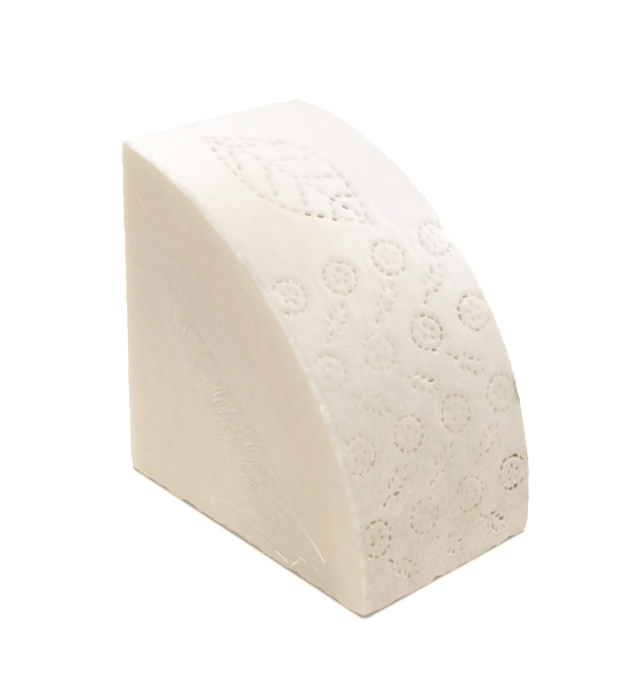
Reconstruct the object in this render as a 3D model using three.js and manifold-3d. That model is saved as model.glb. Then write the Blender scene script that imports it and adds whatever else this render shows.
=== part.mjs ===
// A quarter-round chunk of hard sheep's-milk cheese. Two level cuts took a slice from a tall drum-shaped
// wheel, and two upright cuts that meet on the wheel's axis took a quarter of the slice. The chunk stands on
// one of the upright cuts.
//
// Millimetres, +Z up, origin on the table under the middle of the chunk. +Y runs along the wheel's axis, from
// the front cut to the back cut. The other upright cut faces -X, and the rind curves from the crest to +X.
import * as THREE from "three";
import { LoftGeometry } from "three/addons/geometries/LoftGeometry.js";
import { mergeVertices } from "three/addons/utils/BufferGeometryUtils.js";
import Module from "manifold-3d";

const wasm = await Module();
wasm.setup();

// Driving dimensions of the chunk
const HEIGHT = 145; // the wheel's radius, up the upright cut
const WIDTH = 141; // the wheel's radius, along the base
const DEPTH = 91; // between the front cut and the back cut
const QUARTER = Math.PI / 2;
const MEAN_RADIUS = (HEIGHT + WIDTH) / 2;
const RIND_LENGTH = MEAN_RADIUS * QUARTER; // along the rind from the crest to the base

// Corners of the section, and the rounding where the front and back cuts meet the other faces
const AXIS_CORNER = 1.2; // where the two upright cuts meet
const TOE_CORNER = 1.8; // where the rind meets the base
const CREST_CORNER = 2.2; // where the rind meets the upright cut
const CUT_EDGE = 1; // edges between two cuts are nearly sharp
const FRONT_RIND_EDGE = 3.6; // the rind is soft half way along the front cut
const BACK_RIND_EDGE = 1.6;
const EDGE_SPREAD = 0.6; // how soon that softness is reached from the crest and the toe
const CHIP = 0.4; // how far crumbling changes the rounding along the base
const CHIP_WAVE = 17; // length of one wave of that

// How the rind departs from a true cylinder
const FRONT_FLAT = 5.3; // the rind is flatter at the front cut
const BACK_FULL = 1.5; // and fuller at the back cut
const LOW_HIP = 0.8; // and a little fuller near the base than near the crest
const HOLLOWS = [
  { along: 0, through: DEPTH, size: 20, sink: 2.1 }, // the back end of the crest is worn down
  { along: 97, through: DEPTH, size: 6, sink: 1.9 }, // a dent in the back edge
  { along: 118, through: 58, size: 17, sink: 0.8 },
  { along: 66, through: 22, size: 16, sink: 0.7 },
];

// Divisions of the skin
const BASE_STEPS = 16;
const STAND_STEPS = 8;
const RIND_STEPS = 40;
const CORNER_STEPS = 3;
const EDGE_STEPS = 3;
const DEPTH_STEPS = 11;

// Pin marks: narrow slots that the mould pressed into the rind, in flowers, sprigs and one large leaf
const SLOT_LENGTH = 2.5;
const SLOT_WIDTH = 1.15;
const SLOT_SINK = 1.1;
const SLOT_SIDES = 6;
const MEAN_PRESS = 0.72; // share of that depth, on the whole
const PRESS_PATCH = 0.26; // how much it changes from one patch of the rind to the next
const PRESS_SCATTER = 0.5; // and from one slot to the next
const WORN_AWAY = 0.36; // a slot pressed more lightly than this has not lasted
const EDGE_MARGIN = 4.5; // the slots that are left keep this far from the rind's edges

const FIELD_START = 99; // along the rind to the first column of flowers
const COLUMN_PITCH = 16; // columns of flowers and of sprigs take turns
const ROW_PITCH = 24;
const FIRST_ROW = 9;

const FLOWER_RADIUS = 6.8;
const FLOWER_SLOTS = 13;
const PETALS = 5;
const PETAL_RADIUS = 2.7;
const PETAL_LENGTH = 1.7;

const SPRIG_PITCH = 3.3; // along the stem, from slot to slot
const SPRIG_STEM_SLOTS = 2;
const SPRIG_PAIRS = 3;
const SPRIG_REACH = 2.4; // from the stem to the middle of a grain
const SPRIG_SPLAY = THREE.MathUtils.degToRad(34);
const SPRIG_LEAN = THREE.MathUtils.degToRad(38);

const LEAF_ALONG = 49;
const LEAF_THROUGH = 44;
const LEAF_TURN = THREE.MathUtils.degToRad(24);
const LEAF_LENGTH = 74;
const LEAF_WIDTH = 36;
const LEAF_SLOT_LENGTH = 3;
const LEAF_SIDE_SLOTS = 16;
const LEAF_RIB_SLOTS = 14;
const LEAF_VEINS = 4;
const LEAF_VEIN_PITCH = 4.6;

const CHEESE_COLOUR = 0xe9dfca;

// Numbers from 0 to 1 in a fixed order, so that the chunk comes out the same each time.
let draw = 2027;
function random() {
  draw = (Math.imul(draw, 1664525) + 1013904223) >>> 0;
  return draw / 2 ** 32;
}

// How far the rind stands out from the plain cylinder. angle runs from 0 at the base to a quarter turn at the
// crest, and through is the distance behind the front cut.
function swell(angle, through) {
  const along = (QUARTER - angle) * MEAN_RADIUS;
  let out = THREE.MathUtils.lerp(-FRONT_FLAT, BACK_FULL, through / DEPTH) * Math.sin(2 * angle);
  out += LOW_HIP * Math.sin(4 * angle);
  for (const hollow of HOLLOWS) {
    const reach = Math.hypot(along - hollow.along, through - hollow.through) / hollow.size;
    out -= hollow.sink * Math.exp(-reach * reach);
  }
  return out;
}

// A straight side of the section.
function straight(x0, z0, x1, z1) {
  return new THREE.LineCurve(new THREE.Vector2(x0, z0), new THREE.Vector2(x1, z1));
}

// A rounded corner of the section: a quarter of a circle, anticlockwise from the angle given.
function corner(x, z, radius, from) {
  return new THREE.EllipseCurve(x, z, radius, radius, from, from + QUARTER);
}

// The sides of the section, anticlockwise in X and Z from the wheel's axis.
function sides() {
  const toe = Math.asin(TOE_CORNER / HEIGHT);
  const crest = Math.acos(CREST_CORNER / WIDTH);
  const toeX = WIDTH - TOE_CORNER;
  const crestZ = HEIGHT - CREST_CORNER;
  return [
    { name: "base", steps: BASE_STEPS, curve: straight(AXIS_CORNER, 0, toeX, 0) },
    { name: "toe", steps: CORNER_STEPS, curve: corner(toeX, TOE_CORNER, TOE_CORNER, -QUARTER) },
    { name: "rind", steps: RIND_STEPS, curve: new THREE.EllipseCurve(0, 0, WIDTH, HEIGHT, toe, crest) },
    { name: "crest", steps: CORNER_STEPS, curve: corner(CREST_CORNER, crestZ, CREST_CORNER, QUARTER) },
    { name: "stand", steps: STAND_STEPS, curve: straight(0, crestZ, 0, AXIS_CORNER) },
    { name: "axis", steps: CORNER_STEPS, curve: corner(AXIS_CORNER, AXIS_CORNER, AXIS_CORNER, 2 * QUARTER) },
  ];
}

// Points round the section, each with its outward direction and its rounding towards the front and back cuts.
function outline() {
  const points = [];
  for (const { name, steps, curve } of sides()) {
    for (let step = 0; step < steps; step++) {
      const t = step / steps;
      const at = curve.getPoint(t);
      const tangent = curve.getTangent(t);
      const softness = name === "rind" ? Math.sin(Math.PI * t) ** EDGE_SPREAD : 0;
      const chip = name === "base" ? CHIP * Math.sin((at.x / CHIP_WAVE) * 2 * Math.PI) : 0;
      points.push({
        at,
        out: new THREE.Vector2(tangent.y, -tangent.x),
        frontRound: THREE.MathUtils.lerp(CUT_EDGE, FRONT_RIND_EDGE, softness) + chip,
        backRound: THREE.MathUtils.lerp(CUT_EDGE, BACK_RIND_EDGE, softness) + chip,
      });
    }
  }
  return points;
}

// One ring of the skin. place gives a point's distance behind the front cut and its inset.
function ring(points, place) {
  return points.map((point) => {
    const { at, out } = point;
    const { through, inset } = place(point);
    const angle = Math.atan2(at.y / HEIGHT, at.x / WIDTH);
    const rind = Math.max(0, out.x * Math.cos(angle) + out.y * Math.sin(angle)); // 1 there, 0 on the cuts
    const move = rind * swell(angle, through) - inset;
    return new THREE.Vector3(at.x + out.x * move, through, at.y + out.y * move);
  });
}

// The whole chunk without its marks, skinned from the back cut to the front cut.
function chunkGeometry() {
  const points = outline();
  const back = [];
  const front = [];
  for (let step = 0; step < EDGE_STEPS; step++) {
    const turn = (step / EDGE_STEPS) * QUARTER; // round the edge, starting on the cut
    const rise = 1 - Math.cos(turn);
    const inset = 1 - Math.sin(turn);
    back.push(ring(points, (p) => ({ through: DEPTH - p.backRound * rise, inset: p.backRound * inset })));
    front.unshift(ring(points, (p) => ({ through: p.frontRound * rise, inset: p.frontRound * inset })));
  }
  const between = [];
  for (let step = 0; step <= DEPTH_STEPS; step++) {
    const share = step / DEPTH_STEPS;
    const through = (p) => THREE.MathUtils.lerp(DEPTH - p.backRound, p.frontRound, share);
    between.push(ring(points, (p) => ({ through: through(p), inset: 0 })));
  }
  return new LoftGeometry([...back, ...between, ...front], { capStart: true, capEnd: true });
}

// A flower: a ring of slots round five short petals. Each slot has a place, a heading and a length.
function flower() {
  const slots = [];
  for (let slot = 0; slot < FLOWER_SLOTS; slot++) {
    const a = (slot / FLOWER_SLOTS) * 2 * Math.PI;
    const u = FLOWER_RADIUS * Math.cos(a);
    const v = FLOWER_RADIUS * Math.sin(a);
    slots.push({ u, v, heading: a + QUARTER, length: SLOT_LENGTH });
  }
  for (let petal = 0; petal < PETALS; petal++) {
    const a = (petal / PETALS) * 2 * Math.PI;
    const u = PETAL_RADIUS * Math.cos(a);
    const v = PETAL_RADIUS * Math.sin(a);
    slots.push({ u, v, heading: a, length: PETAL_LENGTH });
  }
  return slots;
}

// An ear of grain along u: a stem, then pairs of grains splayed from it, then one grain at the tip.
function sprig() {
  const slots = [];
  const count = SPRIG_STEM_SLOTS + SPRIG_PAIRS + 1;
  for (let slot = 0; slot < count; slot++) {
    const u = (slot - (count - 1) / 2) * SPRIG_PITCH;
    const paired = slot >= SPRIG_STEM_SLOTS && slot < count - 1;
    for (const side of paired ? [-1, 1] : [0]) {
      slots.push({ u, v: side * SPRIG_REACH, heading: side * SPRIG_SPLAY, length: SLOT_LENGTH });
    }
  }
  return slots;
}

// A large leaf along u: two bowed sides that meet at both ends, a rib, and veins from the rib to the sides.
function leaf() {
  const slots = [];
  const half = LEAF_LENGTH / 2;
  const bow = (u) => (LEAF_WIDTH / 2) * Math.cos((u / half) * QUARTER);
  const slope = (u) => Math.atan((-LEAF_WIDTH / LEAF_LENGTH) * QUARTER * Math.sin((u / half) * QUARTER));
  const add = (u, v, heading) => slots.push({ u, v, heading, length: LEAF_SLOT_LENGTH });
  for (let slot = 0; slot < LEAF_SIDE_SLOTS; slot++) {
    const u = half * ((2 * slot + 1) / LEAF_SIDE_SLOTS - 1);
    for (const side of [-1, 1]) add(u, side * bow(u), side * slope(u));
  }
  for (let slot = 0; slot < LEAF_RIB_SLOTS; slot++) {
    add(half * ((2 * slot) / (LEAF_RIB_SLOTS - 1) - 1), 0, 0);
  }
  const step = LEAF_VEIN_PITCH / Math.SQRT2; // veins leave the rib at 45 degrees
  for (let vein = 1; vein <= LEAF_VEINS; vein++) {
    const root = half * ((2 * vein) / (LEAF_VEINS + 1) - 1.12);
    for (let reach = step; reach < bow(root + reach) - 2; reach += step) {
      for (const side of [-1, 1]) add(root + reach, side * reach, (side * QUARTER) / 2);
    }
  }
  return slots;
}

// Presses one motif into the unrolled rind. Slots that are worn away or too near an edge are left out.
function stamp(marks, motif, along, through, turn) {
  const c = Math.cos(turn);
  const s = Math.sin(turn);
  for (const { u, v, heading, length } of motif) {
    const a = along + u * c - v * s;
    const t = through + u * s + v * c;
    const patch = Math.sin(a / 19 + 0.6) * Math.sin(t / 15 + a / 40);
    const pressed = MEAN_PRESS + PRESS_PATCH * patch + PRESS_SCATTER * (random() - 0.5);
    const clear = Math.min(a, RIND_LENGTH - a, t, DEPTH - t) > EDGE_MARGIN;
    if (clear && pressed > WORN_AWAY) {
      marks.push({ along: a, through: t, heading: heading + turn, length, pressed });
    }
  }
}

// All the marks: the leaf below the crest, then half-dropped columns of flowers and sprigs down to the base.
function pressMarks() {
  const marks = [];
  stamp(marks, leaf(), LEAF_ALONG, LEAF_THROUGH, LEAF_TURN);
  let column = 0;
  for (let along = FIELD_START; along < RIND_LENGTH; along += COLUMN_PITCH) {
    const odd = column % 2;
    const lean = column % 4 === 1 ? SPRIG_LEAN : -SPRIG_LEAN;
    for (let through = FIRST_ROW + (odd * ROW_PITCH) / 2; through < DEPTH; through += ROW_PITCH) {
      if (odd) stamp(marks, sprig(), along, through, QUARTER + lean);
      else stamp(marks, flower(), along, through, through);
    }
    column++;
  }
  return marks;
}

// A closed geometry as a solid for cutting.
function solidOf(geometry) {
  const bare = new THREE.BufferGeometry();
  bare.setAttribute("position", geometry.attributes.position);
  bare.setIndex(geometry.index);
  const merged = mergeVertices(bare);
  const mesh = new wasm.Mesh({
    numProp: 3,
    vertProperties: merged.attributes.position.array,
    triVerts: new Uint32Array(merged.index.array),
  });
  return new wasm.Manifold(mesh);
}

// The pin that pressed one slot. Its point is as far under the rind as its butt is above it, so it is half as
// wide at the rind as at its butt.
function pinSolid({ along, through, heading, length, pressed }) {
  const angle = QUARTER - along / MEAN_RADIUS;
  const out = new THREE.Vector3(Math.cos(angle), 0, Math.sin(angle));
  const down = new THREE.Vector3(Math.sin(angle), 0, -Math.cos(angle)); // the way along grows
  const run = down.multiplyScalar(Math.cos(heading)).setY(Math.sin(heading));
  const across = new THREE.Vector3().crossVectors(run, out);
  const face = new THREE.Vector3(WIDTH * out.x, through, HEIGHT * out.z);
  face.addScaledVector(out, swell(angle, through));
  const axes = [
    run.multiplyScalar(length),
    out.multiplyScalar(-SLOT_SINK * pressed),
    across.multiplyScalar(-SLOT_WIDTH),
  ];
  const pin = new THREE.ConeGeometry(1, 2, SLOT_SIDES);
  pin.applyMatrix4(new THREE.Matrix4().makeBasis(...axes).setPosition(face));
  return solidOf(pin);
}

// A solid back as a geometry.
function geometryOf(solid) {
  const { vertProperties, triVerts } = solid.getMesh();
  const geometry = new THREE.BufferGeometry();
  geometry.setAttribute("position", new THREE.BufferAttribute(vertProperties, 3));
  geometry.setIndex(new THREE.BufferAttribute(triVerts, 1));
  geometry.computeVertexNormals();
  return geometry;
}

function cheeseChunk() {
  const pins = wasm.Manifold.union(pressMarks().map(pinSolid));
  const geometry = geometryOf(solidOf(chunkGeometry()).subtract(pins));
  geometry.computeBoundingBox();
  const middle = geometry.boundingBox.getCenter(new THREE.Vector3());
  geometry.translate(-middle.x, -middle.y, -geometry.boundingBox.min.z);
  const material = new THREE.MeshStandardMaterial({ color: CHEESE_COLOUR, roughness: 0.6, metalness: 0 });
  const mesh = new THREE.Mesh(geometry, material);
  mesh.name = "cheese_chunk";
  return mesh;
}

const chunk = new THREE.Group();
chunk.add(cheeseChunk());

export default chunk;
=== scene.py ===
# A quarter-round chunk of hard sheep's-milk cheese. Its flat faces are knife cuts, and its curved rind keeps
# the pin marks and the soft unevenness of the mould.
import math

import bmesh
import bpy
import numpy as np
from mathutils import Matrix, Vector, noise
from mathutils.geometry import delaunay_2d_cdt
from mathutils.kdtree import KDTree


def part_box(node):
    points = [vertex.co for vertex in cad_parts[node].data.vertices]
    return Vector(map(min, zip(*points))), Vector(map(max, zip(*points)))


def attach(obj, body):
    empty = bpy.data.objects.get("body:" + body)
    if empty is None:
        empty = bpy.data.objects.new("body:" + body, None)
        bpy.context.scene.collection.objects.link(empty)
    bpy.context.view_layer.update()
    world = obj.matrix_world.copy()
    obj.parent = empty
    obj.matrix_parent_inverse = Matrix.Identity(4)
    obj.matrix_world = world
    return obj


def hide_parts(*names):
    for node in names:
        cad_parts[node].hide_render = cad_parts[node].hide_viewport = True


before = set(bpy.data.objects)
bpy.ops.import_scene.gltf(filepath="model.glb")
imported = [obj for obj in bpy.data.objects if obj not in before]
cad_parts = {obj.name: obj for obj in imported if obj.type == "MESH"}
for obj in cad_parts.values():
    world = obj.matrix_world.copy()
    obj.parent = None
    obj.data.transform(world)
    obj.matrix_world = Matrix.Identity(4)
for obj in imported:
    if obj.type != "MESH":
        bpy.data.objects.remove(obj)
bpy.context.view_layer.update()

# Sizes are in millimetres from the chunk's own corner: x from the upright cut, y behind the front cut and z
# up from the table. The rind is also measured along itself, from the crest to the base, and through, from the
# front cut. A pair of values is where something starts and where it is whole, or its least and its most.
MM = 0.001
CORNER = np.array(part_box("cheese_chunk")[0])
QUARTER = math.pi / 2

# Driving dimensions of the chunk, the same as those of the solid that it replaces
HEIGHT = 145
WIDTH = 141
DEPTH = 91
MEAN_RADIUS = (HEIGHT + WIDTH) / 2
RIND_LENGTH = MEAN_RADIUS * QUARTER
# Roundings of the section's corners, of the cuts' edges and of the rims between the rind and the cuts
AXIS_CORNER = 1.2
TOE_CORNER = 1.8
CREST_CORNER = 2.2
CUT_EDGE = 1
FRONT_RIND_EDGE = 3.6
BACK_RIND_EDGE = 2.4
# The back rim is roundest halfway up, by this power. The front one starts over this share of the rind at the
# toe, and gets sharper towards the crest by this power
EDGE_SPREAD = 0.6
FRONT_EDGE_START = 0.05
FRONT_EDGE_FADE = 0.3
# The base's long edges are more and less round in waves: how much, and how long a wave is
CHIP = 0.4
CHIP_WAVE = 17

# How the rind departs from a true cylinder: flat at the front, full at the back, a hip low down, and hollows
# with their places along and through, sizes and depths
FRONT_FLAT = 5.3
BACK_FULL = 1.5
LOW_HIP = 0.8
HOLLOWS = [(0, DEPTH, 20, 2.1), (97, DEPTH, 6, 1.9), (118, 58, 17, 0.8), (66, 22, 16, 0.7)]

# Spacing of the skin's points on the rind, on flat sides and in the nets that fill the cuts
RIND_STEP = 1.2
FLAT_STEP = 2.8
EDGE_STEPS = 5
CORNER_STEPS = 5
FRONT_NET = 1.7
BACK_NET = 3.2
# A net keeps this share of its spacing away from the rim, and points nearer than this are one
NET_CLEAR = 0.6
NET_MERGE = 1e-6
# Passes that make the skin finer near its detail: how near, and which edges are long enough to halve
MARK_PASSES = [(1.4, 0.5), (0.75, 0.45), (0.5, 0.42)]
KNIFE_PASSES = [(1.2, 0.6), (0.8, 0.4)]
HIDDEN_PASSES = [(2, 1.6), (1, 0.8), (0.6, 0.4)]
STROKE_PASSES = [(1.2, 0.7), (1, 0.6)]
# Places of such detail: shares of a slot's length, points round a flake's scar and along a ridge or a line,
# and how far from the corner those of the crumbled edges start
SLOT_SHARES = (-0.4, 0, 0.4)
FLAKE_POINTS = 8
RIDGE_POINTS = 7
LINE_POINTS = 25
FOOT_START = 2

# Size of the pins that pressed the slots
SLOT_LENGTH = 2.5
SLOT_WIDTH = 1.15
SLOT_SINK = 1.1
# How hard they pressed: in the mean, by patches and by chance. The patches come from waves along, through and
# aslant, and slots pressed less than WORN_AWAY are gone
MARK_SEED = 2027
MEAN_PRESS = 0.72
PRESS_PATCH = 0.26
PRESS_SCATTER = 0.5
PRESS_WAVES = (19, 15, 40)
PRESS_PHASE = 0.6
WORN_AWAY = 0.36
# Slots keep this far from the rind's edges
EDGE_MARGIN = 4.5
# Half-dropped columns of flowers and ears of grain
FIELD_START = 99
COLUMN_PITCH = 16
ROW_PITCH = 24
FIRST_ROW = 9
FLOWER_RADIUS = 6.8
FLOWER_SLOTS = 13
PETALS = 5
PETAL_RADIUS = 2.7
PETAL_LENGTH = 1.7
SPRIG_PITCH = 3.3
SPRIG_STEM_SLOTS = 2
SPRIG_PAIRS = 3
SPRIG_REACH = 2.4
SPRIG_SPLAY = math.radians(34)
SPRIG_LEAN = math.radians(38)
# The large leaf. Its veins start this share of its half length nearer to its stalk than evenly spaced ones
# would, and end this far inside its sides
LEAF_ALONG = 49
LEAF_THROUGH = 44
LEAF_TURN = math.radians(24)
LEAF_LENGTH = 74
LEAF_WIDTH = 36
LEAF_SLOT_LENGTH = 3
LEAF_SIDE_SLOTS = 16
LEAF_RIB_SLOTS = 14
LEAF_VEINS = 4
LEAF_VEIN_PITCH = 4.6
LEAF_VEIN_SHIFT = 0.12
LEAF_VEIN_GAP = 2

# How unevenly the marks wore: shift in place, turn, and shares of length and width
WEAR_SEED = 303
WEAR_SHIFT = 0.6
WEAR_TURN = 0.3
WEAR_LENGTH = 0.4
WEAR_WIDTH = 0.4
# The slots' size against the pins' before wear, and how far their walls reach as a share of their width
SLOT_GROWN = 1.12
SLOT_WALL = 0.8
# As the cheese dried, the slots closed up to SLOT_LEFT of the pins' depth. Those pressed least kept only
# LEAST_LEFT of that, short ones PETAL_LEFT, and those pressed very hard up to twice as much
SLOT_LEFT = 0.6
LEAST_LEFT = 0.25
PRESS_RANGE = (0.5, 1.25)
PETAL_LEFT = 0.45
DEEP_PRESS = (1, 1.25)
# Salt fills the slots: places along the rind, and the share that it leaves there
SALTED = [60, 90, 110, 140, 195], [0.38, 0.54, 0.48, 0.42, 1.05]
# Slots have lips: height, width, distance as a share of the slot's width, and the least that is left of one
LIP_RISE = 0.32
LIP_WIDTH = 0.5
LIP_PLACE = 0.9
LEAST_LIP = 0.3
# A lip is lower above its slot than below it: by this share, changing between these distances along
LIP_ABOVE = 0.15
LIP_SIDES = (-0.5, 0.8)
# Salt buries the lips at the crest: places along, and the share that it leaves there
LIP_SALTED = [60, 110, 150, 200], [0.4, 1, 1, 1.4]
# The rind sinks along the rows of slots, and bulges beside them, more in some patches than in others
VALLEY_SINK = 0.46
VALLEY_WIDTH = 1.8
SHOULDER_RISE = 0.3
SHOULDER_GAP = 3.2
SHOULDER_WIDTH = 1.3
BULGE_PATCH = 9
BULGE_RANGE = (-0.1, 0.4)

# The white bloom on the rind is partly salt and partly painted light, strongest high up. It is whole above
# the first place along the rind and gone below the second. At the back it stays whole for longer, by the
# third length, between these shares of the depth
WHITE_START = 48
WHITE_END = 212
WHITE_BACK = 52
WHITE_LATE = (0.42, 0.95)
# It is less white in part at the front: how much, where along, how far to either side, and where through
LESS_WHITE = 0.42
LESS_WHITE_ALONG = 75
LESS_WHITE_HALF = 30
LESS_WHITE_THROUGH = (50, 15)

# Lumps of the rind: size and height. They are higher by this share at the crest
RIND_LUMPS = [(30, 0.5), (11, 0.22)]
CREST_LUMPS = 0.7
CREST_REACH = (110, 40)
# Smaller ones, only this share as high at the crest
FINE_LUMPS = [(4.5, 0.21), (2.2, 0.09)]
FINE_CREST = 0.5
FINE_REACH = (70, 130)
# Nicks and swellings of the edges
EDGE_LUMPS = [(9, 0.6), (3.5, 0.5), (1.8, 0.25)]
# Scars where flakes broke off the rind beside the front rim: middle along and through, half length and width
FLAKES = [(136.5, 2.4, 3, 1.4), (143, 3, 4, 1.8), (150, 2.2, 2.5, 1.4), (161, 3.2, 2, 1.2)]
# Their depth, the lumps that make them ragged, where their walls start and end, and how pale they are
FLAKE_SINK = 0.45
FLAKE_RAGGED = [(2.5, 0.7)]
FLAKE_WALL = (1, 0.75)
FLAKE_PALE = 0.4
# Which way the skin has to face to count as rind, as a cut, and as an edge between faces
RIND_TURN = (0.2, 0.95)
CUT_TURN = (0.9, 0.999)
EDGE_TURN = (0.02, 0.26)

# Threads of paste that the knife raised on the front cut: bends in x and z, width, and height at either end
THREADS = [
    ([(94, 30.5), (100, 26.7), (109, 21.8), (119.8, 13.4)], 0.48, (0.03, 0.5)),
    ([(52.7, 9.6), (62, 13), (76.2, 15.2), (94, 22.9)], 0.45, (0.17, 0.06)),
    ([(91.9, 5.4), (95.4, 4.8), (99.2, 3.7)], 0.45, (0.4, 0.44)),
    ([(101.1, 3.5), (105.4, 7.8)], 0.45, (0.4, 0.36)),
    ([(105, 9.2), (107.4, 9.5), (109.7, 9)], 0.42, (0.4, 0.32)),
    ([(113.2, 9.9), (115.6, 8.6)], 0.42, (0.32, 0.24)),
    ([(124.6, 10.1), (126.8, 9.4), (128.9, 8.4)], 0.36, (0.16, 0.1)),
    ([(82.2, 30.4), (86, 30)], 0.4, (0.16, 0.12)),
    ([(73.4, 109.3), (74.2, 108.9)], 0.4, (0.3, 0.3)),
    ([(7.8, 67.4), (8.4, 66.8)], 0.4, (0.3, 0.3)),
    ([(4.7, 130.8), (10.1, 125.5), (15.6, 119.4)], 0.4, (0.1, 0.18)),
    ([(20.6, 137.6), (22, 138), (22.6, 136.8), (21.4, 136)], 0.34, (0.14, 0.1)),
    ([(29.4, 132.4), (30.6, 133.2), (31.4, 132), (30, 131.2)], 0.34, (0.14, 0.1)),
]
# Lines that the knife scored: bends in x and z, width and depth
SCORES = [
    ([(32, 90.7), (45.8, 81.3), (61.1, 67.4), (91, 36.2)], 0.42, 0.09),
    ([(46.4, 81.4), (50.2, 77.6), (53.6, 74)], 0.4, 0.1),
    ([(14.7, 95.8), (11.6, 77.5), (8.2, 56.2)], 0.5, 0.1),
    ([(3.4, 130.6), (8.8, 125), (13.8, 119.2)], 0.5, 0.14),
]
# Threads and scores of the same kinds on the back cut
BACK_THREADS = [
    ([(38, 22), (52, 26), (70, 37), (83, 51)], 0.45, (0.3, 0.03)),
    ([(24, 70), (40, 72), (58, 80)], 0.42, (0.05, 0.24)),
    ([(61, 11), (64, 12.4), (68, 12)], 0.42, (0.3, 0.36)),
    ([(72, 6), (75, 8.4)], 0.42, (0.36, 0.2)),
]
BACK_SCORES = [
    ([(18, 118), (40, 96), (66, 62), (82, 34)], 0.45, 0.08),
    ([(100, 80), (92, 56), (88, 30)], 0.5, 0.08),
]
# and on the upright cut, with bends in y and z
UPRIGHT_THREADS = [
    ([(24, 96), (36, 90), (50, 80)], 0.42, (0.1, 0.3)),
    ([(58, 34), (62, 35.4), (66, 35)], 0.42, (0.3, 0.24)),
    ([(18, 12), (22, 15)], 0.42, (0.3, 0.3)),
]
UPRIGHT_SCORES = [
    ([(14, 122), (32, 98), (52, 64), (66, 30)], 0.5, 0.1),
    ([(70, 108), (76, 80), (78, 52)], 0.5, 0.1),
]
# Shares of a thread's length over which it rises and falls, and the power by which a score's ends deepen
THREAD_ENDS = (0.08, 0.04)
SCORE_SPREAD = 0.5
# A thread as high as this is as pale as can be, and lower ones are less pale by this power
PALE_HEIGHT = 0.4
PALE_POWER = 1.5
# Ridges where the knife chattered on the lower side of the long score: both ends in x and z, and height
CHATTER = [
    ((53.4, 59.1), (60.3, 63.7), 0.42),
    ((53.8, 56.7), (60.7, 62.1), 0.46),
    ((53.3, 54.3), (61.1, 59.8), 0.46),
    ((57.8, 51.4), (60.3, 52.9), 0.5),
    ((64.7, 55.1), (69.9, 57.9), 0.46),
    ((65.7, 47.6), (68.6, 49), 0.5),
    ((72.5, 43.7), (79.2, 47.4), 0.48),
    ((74.1, 42.3), (78.7, 45), 0.42),
    ((36.8, 76.2), (39, 82.7), 0.46),
]
CHATTER_WIDTH = 0.6
# Ridges are bowed by this much over a square millimetre of length, paler by this share of their height, and
# have a groove beside them: its distance in widths, and its share of their height
RIDGE_BOW = 0.03
RIDGE_PALE = 0.5
GROOVE_PLACE = 1.5
GROOVE_SHARE = 0.7
# Finer strokes of the knife in rows on the same side of the score, all pointing away from one place
STROKE_SEED = 61
STROKES_FROM = (28, 95.5)
STROKES_TO = (108, 24.6)
STROKE_CENTRE = (27, 29)
STROKE_PITCH = 1.4
STROKE_ROWS = 6
STROKE_ROW_SHIFT = 1 / 3
STROKE_LENGTH = 4.4
STROKE_WIDTH = 0.5
STROKE_RISE = 0.26
STROKES_LEFT = 0.8
# How they vary by chance: place along and across their row, turn, and shares of their length and height
STROKE_SCATTER = 0.4
STROKE_ASIDE = (0.2, 1)
STROKE_TURN = 0.3
STROKE_LENGTHS = (0.6, 1.3)
STROKE_HEIGHTS = (0.2, 1)
# and from the upper to the lower end of the score: spread away from it, and shares of length and height
STROKE_SPREAD = (16, 38)
STROKE_LENGTHENING = (0.8, 1.6)
STROKE_HEIGHTENING = (0.6, 1.5)
# The finest of them are drawn by the material as a feathery nap: where it starts and ends beside the score,
# as a distance and as a share of the spread, and down it, how it grows, and its strength on the back cut
FEATHER_SIDE = (-3, 1)
FEATHER_OUTER = (1, 0.3)
FEATHER_TOP = (-0.15, 0.1)
FEATHER_FOOT = (1.05, 0.85)
FEATHER_GROWTH = (0.7, 1.4)
BACK_FEATHER = 1.3
# The knife turned about this point of the front cut, so its fine drag lines fan out from there. They are
# plain near it, but not towards the toe
KNIFE_PIVOT = (126, 5)
DRAG_REACH = (85, 30)
DRAG_TOE = (KNIFE_PIVOT[0] + 12, KNIFE_PIVOT[0] - 30)
LEAST_DRAG = 0.12
# On the other cuts they are all as plain as this, and keep clear of the pivot
HIDDEN_DRAG = 0.6
HIDDEN_CLEAR = (8, 50)

# Painted highlight on the cuts: how far it reaches in from their upright edges and from the rind, and its
# share near the rind. Skin that faces away from the rind by UPRIGHT_FACING belongs to the upright cut
HIGHLIGHT_EDGE = 3.5
HIGHLIGHT_RIM = 1.8
HIGHLIGHT_RIM_SHARE = 0.5
UPRIGHT_FACING = 0.9
# High up, painted light makes the paste paler within this distance of the rind, from one height to another
RIM_GLOW_REACH = 6
RIM_GLOW_RISE = (40, 95)
# The paste is yellowest at this depth under the rind
BAND_DEEP = 18.5
BAND_HALF = 7
# Painted highlight on the edges: between two cuts only this share of that on the rims of the rind, which
# face outwards by this much
CUT_EDGE_HIGHLIGHT = 0.4
RIM_TURN = (0, 0.3)
# A patch of painted shade on the back edge of the rind, for a small dent: its middle along the rind, its
# half length and its width
DENT_SHADE_ALONG = 164.5
DENT_SHADE_HALF = 4.5
DENT_SHADE_WIDTH = 2.6

# Crumbs and flakes on the rind: places along and through, lengths and thicknesses
CRUMBS = [(164.9, 18, 1, 0.8), (163.6, 19.4, 1.7, 0.3), (164.6, 14.2, 1.4, 0.3), (166.2, 13.6, 1.2, 0.4),
          (170, 8, 1.6, 0.3), (162.4, 23.6, 0.8, 0.4), (148.8, 7.4, 0.8, 0.4), (137.6, 4.4, 1, 0.4),
          (183.9, 12.5, 1.2, 0.4), (168, 23.4, 0.8, 0.3), (120, 39, 0.7, 0.4), (190, 26, 0.8, 0.3)]
# How far their middles lie above the rind, as a share of thickness, their widths as shares of length, and how
# uneven they are
CRUMB_SEED = 19
CRUMB_LIFT = 0.2
CRUMB_WIDTHS = (0.4, 0.7)
CRUMB_SPREAD = 0.8
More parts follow.
